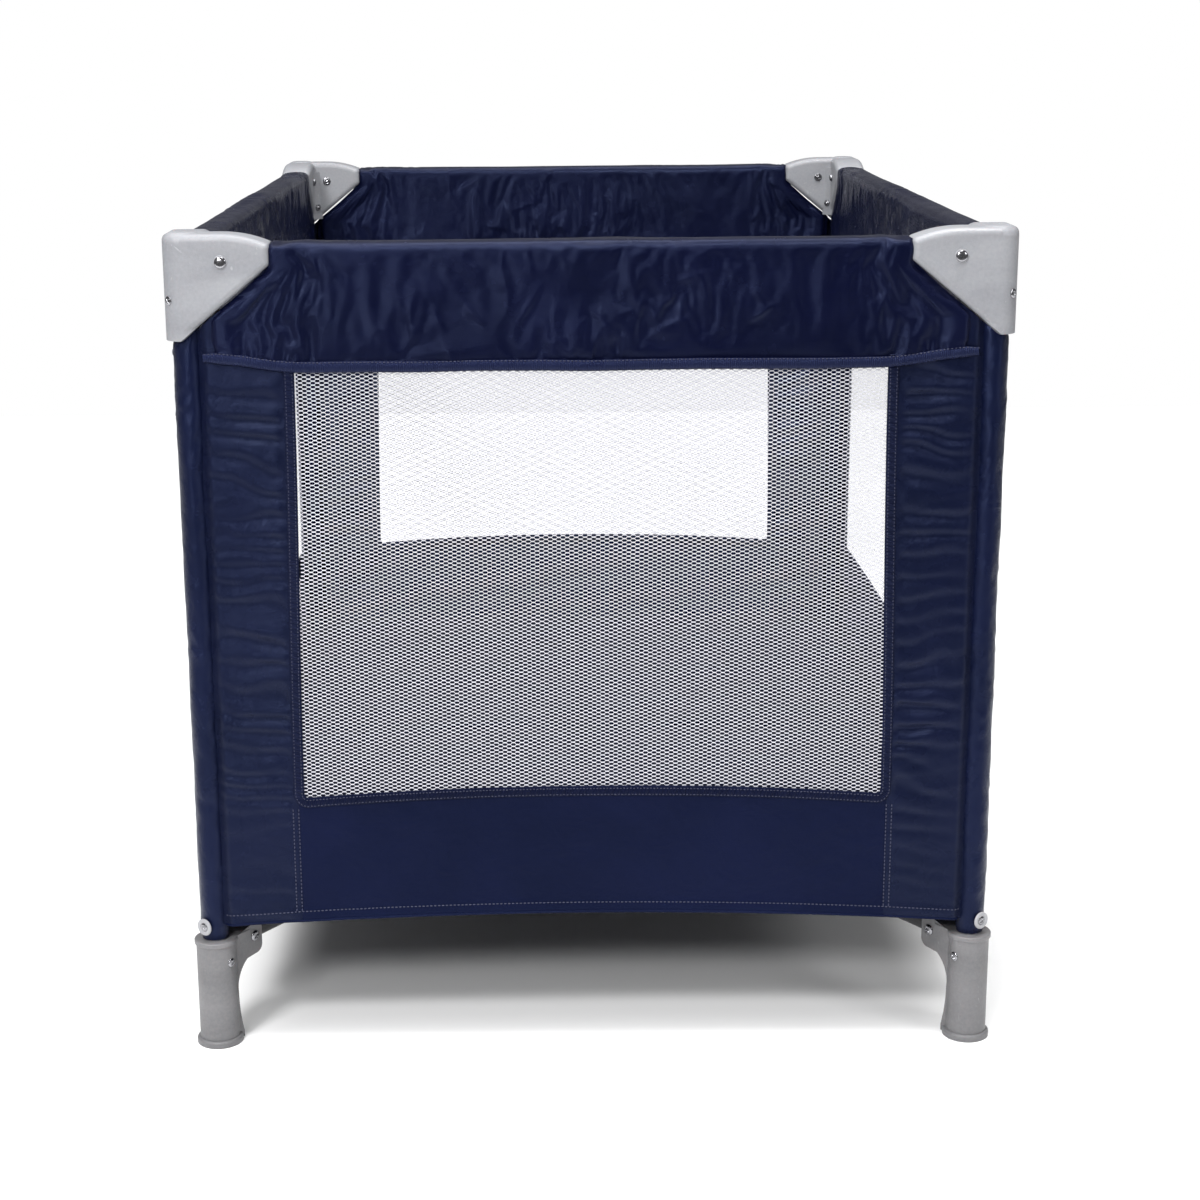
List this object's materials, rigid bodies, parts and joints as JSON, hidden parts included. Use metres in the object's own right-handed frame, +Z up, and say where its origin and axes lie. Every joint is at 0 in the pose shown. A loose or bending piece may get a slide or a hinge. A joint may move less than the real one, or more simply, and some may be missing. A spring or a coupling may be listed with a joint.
{
  "type": "playpen",
  "caption": "Folding rectangular playpen with tube legs, hinged cloth-covered top rails, netted cloth walls, a folding base and a padded mat.",
  "frame": {"origin": "on the floor, at the middle of the footprint", "axes": "+Z up; +X along the short sides, towards the right when facing the front short side; +Y along the long sides, from the front to the rear"},
  "size_m": [0.747, 1.057, 0.757],
  "materials": {
    "cap_plastic": "satin moulded, fine grain",
    "foot_plastic": "satin moulded, fine grain",
    "steel_tube": "dark satin powder coat",
    "bolts": "bright plated",
    "hub_plastic": "matt moulded",
    "latch_plastic": "matt moulded",
    "button_plastic": "matt moulded",
    "navy_cloth": "satin polyester weave",
    "netting": "white knitted net",
    "mat_cloth": "quilted polyester over a soft pad"
  },
  "bodies": {
    "leg_front_left": {"corner_cap_front_left": "cap_plastic", "leg_tube_front_left": "steel_tube", "foot_front_left": "foot_plastic", "fasteners_front_left": "bolts", "leg_sleeve_front_left": "navy_cloth", "wall_cloth_left": "navy_cloth", "wall_netting_left": "netting", "rail_cover_left": "navy_cloth"},
    "leg_front_right": {"corner_cap_front_right": "cap_plastic", "leg_tube_front_right": "steel_tube", "foot_front_right": "foot_plastic", "fasteners_front_right": "bolts", "leg_sleeve_front_right": "navy_cloth", "wall_cloth_front": "navy_cloth", "wall_netting_front": "netting", "rail_cover_front": "navy_cloth"},
    "leg_rear_left": {"corner_cap_rear_left": "cap_plastic", "leg_tube_rear_left": "steel_tube", "foot_rear_left": "foot_plastic", "fasteners_rear_left": "bolts", "leg_sleeve_rear_left": "navy_cloth", "wall_cloth_rear": "navy_cloth", "wall_netting_rear": "netting", "rail_cover_rear": "navy_cloth"},
    "leg_rear_right": {"corner_cap_rear_right": "cap_plastic", "leg_tube_rear_right": "steel_tube", "foot_rear_right": "foot_plastic", "fasteners_rear_right": "bolts", "leg_sleeve_rear_right": "navy_cloth", "wall_cloth_right": "navy_cloth", "wall_netting_right": "netting", "rail_cover_right": "navy_cloth"},
    "base_bar_front_left": {"base_bar_front_left": "steel_tube"},
    "short_rail_front_left": {"short_rail_front_left": "steel_tube"},
    "long_rail_front_left": {"long_rail_front_left": "steel_tube"},
    "base_bar_front_right": {"base_bar_front_right": "steel_tube"},
    "short_rail_front_right": {"short_rail_front_right": "steel_tube"},
    "long_rail_front_right": {"long_rail_front_right": "steel_tube"},
    "base_bar_rear_left": {"base_bar_rear_left": "steel_tube"},
    "short_rail_rear_left": {"short_rail_rear_left": "steel_tube"},
    "long_rail_rear_left": {"long_rail_rear_left": "steel_tube"},
    "base_bar_rear_right": {"base_bar_rear_right": "steel_tube"},
    "short_rail_rear_right": {"short_rail_rear_right": "steel_tube"},
    "long_rail_rear_right": {"long_rail_rear_right": "steel_tube"},
    "base_hub": {"base_hub": "hub_plastic", "base_hub_bolts": "bolts", "floor_cloth": "navy_cloth", "mattress": "mat_cloth"},
    "rail_latch_front": {"latch_housing_front": "latch_plastic", "latch_pins_front": "bolts"},
    "latch_button_front": {"latch_button_front": "button_plastic"},
    "rail_latch_rear": {"latch_housing_rear": "latch_plastic", "latch_pins_rear": "bolts"},
    "latch_button_rear": {"latch_button_rear": "button_plastic"},
    "rail_latch_left": {"latch_housing_left": "latch_plastic", "latch_pins_left": "bolts"},
    "latch_button_left": {"latch_button_left": "button_plastic"},
    "rail_latch_right": {"latch_housing_right": "latch_plastic", "latch_pins_right": "bolts"},
    "latch_button_right": {"latch_button_right": "button_plastic"}
  },
  "joints": [
    {"name": "base_fold", "type": "hinge", "parent": "leg_rear_left", "child": "base_bar_rear_left", "pos_m": [-0.33033, 0.47579, 0.095], "axis": [-0.8214, -0.5703, 0], "range_deg": [0, 85], "deforming": ["wall_cloth_front", "wall_netting_front", "rail_cover_front", "wall_cloth_rear", "wall_netting_rear", "rail_cover_rear", "wall_cloth_left", "wall_netting_left", "rail_cover_left", "wall_cloth_right", "wall_netting_right", "rail_cover_right", "floor_cloth", "mattress"]},
    {"name": "hub_level", "type": "hinge", "parent": "base_bar_rear_left", "child": "base_hub", "pos_m": [-0.03764, 0.05421, 0.095], "axis": [0.8214, 0.5703, 0], "range_deg": [0, 85]},
    {"name": "base_fold_rear_right", "type": "hinge", "parent": "base_hub", "child": "base_bar_rear_right", "pos_m": [0.03764, 0.05421, 0.095], "axis": [-0.8214, 0.5703, 0], "range_deg": [0, 85]},
    {"name": "leg_level_rear_right", "type": "hinge", "parent": "base_bar_rear_right", "child": "leg_rear_right", "pos_m": [0.33033, 0.47579, 0.095], "axis": [0.8214, -0.5703, 0], "range_deg": [0, 85]},
    {"name": "base_fold_front_left", "type": "hinge", "parent": "base_hub", "child": "base_bar_front_left", "pos_m": [-0.03764, -0.05421, 0.095], "axis": [0.8214, -0.5703, 0], "range_deg": [0, 85]},
    {"name": "leg_level_front_left", "type": "hinge", "parent": "base_bar_front_left", "child": "leg_front_left", "pos_m": [-0.33033, -0.47579, 0.095], "axis": [-0.8214, 0.5703, 0], "range_deg": [0, 85]},
    {"name": "base_fold_front_right", "type": "hinge", "parent": "base_hub", "child": "base_bar_front_right", "pos_m": [0.03764, -0.05421, 0.095], "axis": [0.8214, 0.5703, 0], "range_deg": [0, 85]},
    {"name": "leg_level_front_right", "type": "hinge", "parent": "base_bar_front_right", "child": "leg_front_right", "pos_m": [0.33033, -0.47579, 0.095], "axis": [-0.8214, -0.5703, 0], "range_deg": [0, 85]},
    {"name": "short_rail_fold_front_left", "type": "hinge", "parent": "leg_front_left", "child": "short_rail_front_left", "pos_m": [-0.318, -0.507, 0.732], "axis": [0, 1, 0], "range_deg": [0, 85]},
    {"name": "long_rail_fold_front_left", "type": "hinge", "parent": "leg_front_left", "child": "long_rail_front_left", "pos_m": [-0.352, -0.473, 0.732], "axis": [-1, 0, 0], "range_deg": [0, 85]},
    {"name": "short_rail_fold_front_right", "type": "hinge", "parent": "leg_front_right", "child": "short_rail_front_right", "pos_m": [0.318, -0.507, 0.732], "axis": [0, -1, 0], "range_deg": [0, 85]},
    {"name": "long_rail_fold_front_right", "type": "hinge", "parent": "leg_front_right", "child": "long_rail_front_right", "pos_m": [0.352, -0.473, 0.732], "axis": [-1, 0, 0], "range_deg": [0, 85]},
    {"name": "short_rail_fold_rear_left", "type": "hinge", "parent": "leg_rear_left", "child": "short_rail_rear_left", "pos_m": [-0.318, 0.507, 0.732], "axis": [0, 1, 0], "range_deg": [0, 85]},
    {"name": "long_rail_fold_rear_left", "type": "hinge", "parent": "leg_rear_left", "child": "long_rail_rear_left", "pos_m": [-0.352, 0.473, 0.732], "axis": [1, 0, 0], "range_deg": [0, 85]},
    {"name": "short_rail_fold_rear_right", "type": "hinge", "parent": "leg_rear_right", "child": "short_rail_rear_right", "pos_m": [0.318, 0.507, 0.732], "axis": [0, -1, 0], "range_deg": [0, 85]},
    {"name": "long_rail_fold_rear_right", "type": "hinge", "parent": "leg_rear_right", "child": "long_rail_rear_right", "pos_m": [0.352, 0.473, 0.732], "axis": [1, 0, 0], "range_deg": [0, 85]},
    {"name": "latch_level_front", "type": "hinge", "parent": "short_rail_front_left", "child": "rail_latch_front", "pos_m": [-0.02531, -0.507, 0.732], "axis": [0, -1, 0], "range_deg": [0, 85]},
    {"name": "latch_press_front", "type": "slide", "parent": "rail_latch_front", "child": "latch_button_front", "axis": [0, 0, 1], "range_m": [0, 0.003], "stiffness_N_per_m": 300, "springref_m": -0.002},
    {"name": "latch_level_rear", "type": "hinge", "parent": "short_rail_rear_right", "child": "rail_latch_rear", "pos_m": [0.02531, 0.507, 0.732], "axis": [0, 1, 0], "range_deg": [0, 85]},
    {"name": "latch_press_rear", "type": "slide", "parent": "rail_latch_rear", "child": "latch_button_rear", "axis": [0, 0, 1], "range_m": [0, 0.003], "stiffness_N_per_m": 300, "springref_m": -0.002},
    {"name": "latch_level_left", "type": "hinge", "parent": "long_rail_rear_left", "child": "rail_latch_left", "pos_m": [-0.352, 0.05143, 0.732], "axis": [-1, 0, 0], "range_deg": [0, 85]},
    {"name": "latch_press_left", "type": "slide", "parent": "rail_latch_left", "child": "latch_button_left", "axis": [0, 0, 1], "range_m": [0, 0.003], "stiffness_N_per_m": 300, "springref_m": -0.002},
    {"name": "latch_level_right", "type": "hinge", "parent": "long_rail_front_right", "child": "rail_latch_right", "pos_m": [0.352, -0.05143, 0.732], "axis": [1, 0, 0], "range_deg": [0, 85]},
    {"name": "latch_press_right", "type": "slide", "parent": "rail_latch_right", "child": "latch_button_right", "axis": [0, 0, 1], "range_m": [0, 0.003], "stiffness_N_per_m": 300, "springref_m": -0.002}
  ],
  "couplings": [
    {"joint": "hub_level", "follows": "base_fold", "ratio": 1},
    {"joint": "base_fold_rear_right", "follows": "base_fold", "ratio": 1},
    {"joint": "leg_level_rear_right", "follows": "base_fold", "ratio": 1},
    {"joint": "base_fold_front_left", "follows": "base_fold", "ratio": 1},
    {"joint": "leg_level_front_left", "follows": "base_fold", "ratio": 1},
    {"joint": "base_fold_front_right", "follows": "base_fold", "ratio": 1},
    {"joint": "leg_level_front_right", "follows": "base_fold", "ratio": 1},
    {"joint": "short_rail_fold_front_left", "follows": "base_fold", "ratio": 1},
    {"joint": "long_rail_fold_front_left", "follows": "base_fold", "ratio": 1},
    {"joint": "short_rail_fold_front_right", "follows": "base_fold", "ratio": 1},
    {"joint": "long_rail_fold_front_right", "follows": "base_fold", "ratio": 1},
    {"joint": "short_rail_fold_rear_left", "follows": "base_fold", "ratio": 1},
    {"joint": "long_rail_fold_rear_left", "follows": "base_fold", "ratio": 1},
    {"joint": "short_rail_fold_rear_right", "follows": "base_fold", "ratio": 1},
    {"joint": "long_rail_fold_rear_right", "follows": "base_fold", "ratio": 1},
    {"joint": "latch_level_front", "follows": "base_fold", "ratio": 1},
    {"joint": "latch_level_rear", "follows": "base_fold", "ratio": 1},
    {"joint": "latch_level_left", "follows": "base_fold", "ratio": 1},
    {"joint": "latch_level_right", "follows": "base_fold", "ratio": 1}
  ]
}
